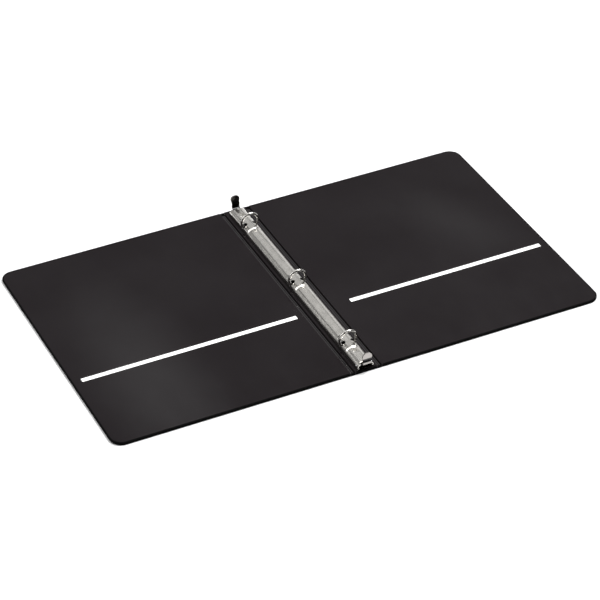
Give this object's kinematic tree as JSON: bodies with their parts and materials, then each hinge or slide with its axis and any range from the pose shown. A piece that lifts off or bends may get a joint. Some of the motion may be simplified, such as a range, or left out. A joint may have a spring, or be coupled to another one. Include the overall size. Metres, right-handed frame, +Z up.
{
  "type": "ring binder",
  "caption": "Open black vinyl ring binder: stiffened covers on welded hinges, pocket slots in the liners, and an arched ring metal whose rings part when an end lever is pressed.",
  "frame": {"origin": "on the floor under the middle of the spine panel, binder open flat with its inside up", "axes": "+X from the front cover's fore edge to the back cover's, +Y along the spine, +Z up"},
  "size_m": [0.497, 0.2938, 0.0222],
  "materials": {
    "outer_vinyl": "embossed black vinyl",
    "liner_vinyl": "smooth satin black vinyl",
    "lined_board": "white-lined chipboard",
    "ring_nickel": "polished nickel plate",
    "housing_nickel": "nickel plate with drawing lines",
    "plated_steel": "zinc-plated steel"
  },
  "bodies": {
    "spine": {"outer_skin_spine": "outer_vinyl", "board_spine": "lined_board", "liner_spine": "liner_vinyl", "hinge_front": "outer_vinyl", "hinge_back": "outer_vinyl", "housing": "housing_nickel", "lever_pin_far": "plated_steel", "lever_pin_near": "plated_steel", "rivet_far": "housing_nickel", "rivet_near": "housing_nickel", "spacer_far": "plated_steel", "spacer_near": "plated_steel"},
    "front_cover": {"outer_skin_front": "outer_vinyl", "board_front": "lined_board", "liner_front": "liner_vinyl"},
    "back_cover": {"outer_skin_back": "outer_vinyl", "board_back": "lined_board", "liner_back": "liner_vinyl"},
    "left_carrier": {"carrier_left": "plated_steel", "ring_far_left": "ring_nickel", "ring_middle_left": "ring_nickel", "ring_near_left": "ring_nickel"},
    "right_carrier": {"carrier_right": "plated_steel", "ring_far_right": "ring_nickel", "ring_middle_right": "ring_nickel", "ring_near_right": "ring_nickel"},
    "far_lever": {"lever_far": "ring_nickel"},
    "near_lever": {"lever_near": "ring_nickel"}
  },
  "joints": [
    {"name": "front_cover_hinge", "type": "hinge", "parent": "spine", "child": "front_cover", "pos_m": [-0.0135, 0, 0.0013], "axis": [0, 1, 0], "range_deg": [-90, 90], "deforming": ["hinge_front"]},
    {"name": "back_cover_hinge", "type": "hinge", "parent": "spine", "child": "back_cover", "pos_m": [0.0135, 0, 0.0013], "axis": [0, -1, 0], "range_deg": [-90, 90], "deforming": ["hinge_back"]},
    {"name": "rings_open", "type": "hinge", "parent": "spine", "child": "right_carrier", "pos_m": [0.0065, 0, 0.0054], "axis": [0, 1, 0], "range_deg": [0, 12]},
    {"name": "left_rings_open", "type": "hinge", "parent": "spine", "child": "left_carrier", "pos_m": [-0.0065, 0, 0.0054], "axis": [0, -1, 0], "range_deg": [0, 12]},
    {"name": "far_lever_press", "type": "hinge", "parent": "spine", "child": "far_lever", "pos_m": [0, 0.135, 0.0054], "axis": [-1, 0, 0], "range_deg": [0, 30]},
    {"name": "near_lever_press", "type": "hinge", "parent": "spine", "child": "near_lever", "pos_m": [0, -0.14, 0.0054], "axis": [1, 0, 0], "range_deg": [0, 30]}
  ],
  "couplings": [
    {"joint": "left_rings_open", "follows": "rings_open", "ratio": 1},
    {"joint": "far_lever_press", "follows": "rings_open", "ratio": 2.5},
    {"joint": "near_lever_press", "follows": "rings_open", "ratio": 2.5}
  ]
}
